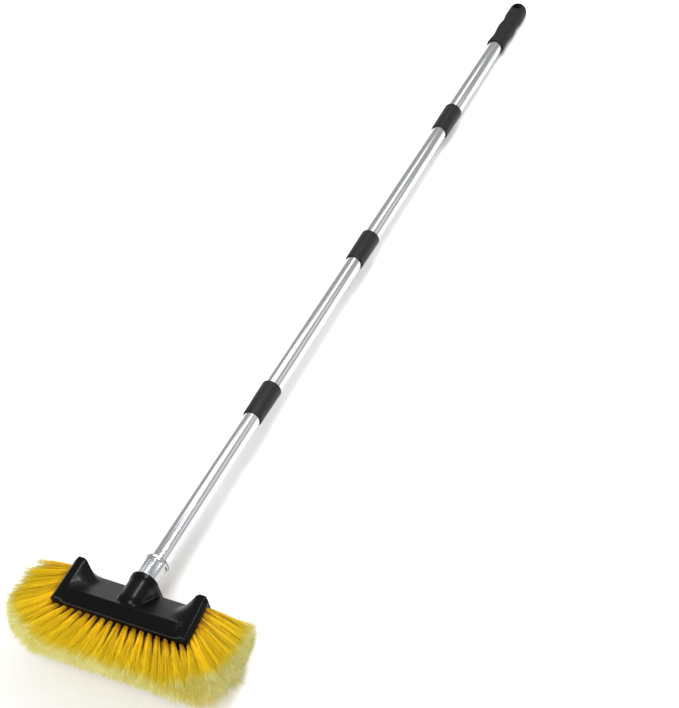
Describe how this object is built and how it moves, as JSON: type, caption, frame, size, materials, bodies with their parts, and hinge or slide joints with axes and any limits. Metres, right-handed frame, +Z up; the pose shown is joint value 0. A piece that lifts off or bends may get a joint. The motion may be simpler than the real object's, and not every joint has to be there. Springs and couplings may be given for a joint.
{
  "type": "car wash brush",
  "caption": "Soft-bristle vehicle wash brush: a moulded head with tufts on its underside, sides and ends, on a long sectional screw-together metal pole with a grip.",
  "frame": {"origin": "centre of the brush's box at floor height, with the brush lying down: it rests on the trimmed tips under the head's pole side and on the end of the grip", "axes": "+X along the pole from the head toward the grip, +Z up, Y along the head's length"},
  "size_m": [1.591, 0.3308, 0.1246],
  "materials": {
    "head_plastic": "satin",
    "bristle": "matte",
    "tip_plastic": "satin",
    "rivet_metal": "satin",
    "pole_metal": "polished",
    "coupler_plastic": "satin",
    "grip_plastic": "matte"
  },
  "bodies": {
    "head": {"head_block": "head_plastic", "front_bristle_row_1": "bristle", "front_bristle_row_2": "bristle", "rear_bristle_row_1": "bristle", "rear_bristle_row_2": "bristle", "base_bristle_row_1": "bristle", "base_bristle_row_2": "bristle", "base_bristle_row_3": "bristle", "base_bristle_row_4": "bristle", "base_bristle_row_5": "bristle", "left_bristle_row_1": "bristle", "left_bristle_row_2": "bristle", "left_bristle_row_3": "bristle", "left_bristle_row_4": "bristle", "right_bristle_row_1": "bristle", "right_bristle_row_2": "bristle", "right_bristle_row_3": "bristle", "right_bristle_row_4": "bristle"},
    "tube_1_travel": {"tube_1": "pole_metal"},
    "section_1": {"tip_connector": "tip_plastic", "tip_rivet": "rivet_metal", "coupler_1": "coupler_plastic"},
    "tube_2_travel": {"tube_2": "pole_metal"},
    "section_2": {"coupler_2": "coupler_plastic"},
    "tube_3_travel": {"tube_3": "pole_metal"},
    "section_3": {"coupler_3": "coupler_plastic"},
    "tube_4_travel": {"tube_4": "pole_metal"},
    "section_4": {"grip": "grip_plastic"}
  },
  "joints": [
    {"name": "head_thread_travel", "type": "slide", "parent": "head", "child": "tube_1_travel", "axis": [0.9981, 0, -0.061], "range_m": [0, 0.0178]},
    {"name": "head_thread_turn", "type": "hinge", "parent": "tube_1_travel", "child": "section_1", "pos_m": [-0.66221, 0, 0.10415], "axis": [0.9981, 0, -0.061], "range_deg": [0, 1260]},
    {"name": "second_tube_thread_travel", "type": "slide", "parent": "section_1", "child": "tube_2_travel", "axis": [0.9981, 0, -0.061], "range_m": [0, 0.0168]},
    {"name": "second_tube_thread_turn", "type": "hinge", "parent": "tube_2_travel", "child": "section_2", "pos_m": [-0.27484, 0, 0.08046], "axis": [0.9981, 0, -0.061], "range_deg": [0, 1440]},
    {"name": "third_tube_thread_travel", "type": "slide", "parent": "section_2", "child": "tube_3_travel", "axis": [0.9981, 0, -0.061], "range_m": [0, 0.0168]},
    {"name": "third_tube_thread_turn", "type": "hinge", "parent": "tube_3_travel", "child": "section_3", "pos_m": [0.08779, 0, 0.05828], "axis": [0.9981, 0, -0.061], "range_deg": [0, 1440]},
    {"name": "grip_tube_thread_travel", "type": "slide", "parent": "section_3", "child": "tube_4_travel", "axis": [0.9981, 0, -0.061], "range_m": [0, 0.0168]},
    {"name": "grip_tube_thread_turn", "type": "hinge", "parent": "tube_4_travel", "child": "section_4", "pos_m": [0.45041, 0, 0.0361], "axis": [0.9981, 0, -0.061], "range_deg": [0, 1440]}
  ],
  "couplings": [
    {"joint": "head_thread_travel", "follows": "head_thread_turn", "m_per_rad": 0.00080851},
    {"joint": "second_tube_thread_travel", "follows": "second_tube_thread_turn", "m_per_rad": 0.00066845},
    {"joint": "third_tube_thread_travel", "follows": "third_tube_thread_turn", "m_per_rad": 0.00066845},
    {"joint": "grip_tube_thread_travel", "follows": "grip_tube_thread_turn", "m_per_rad": 0.00066845}
  ]
}
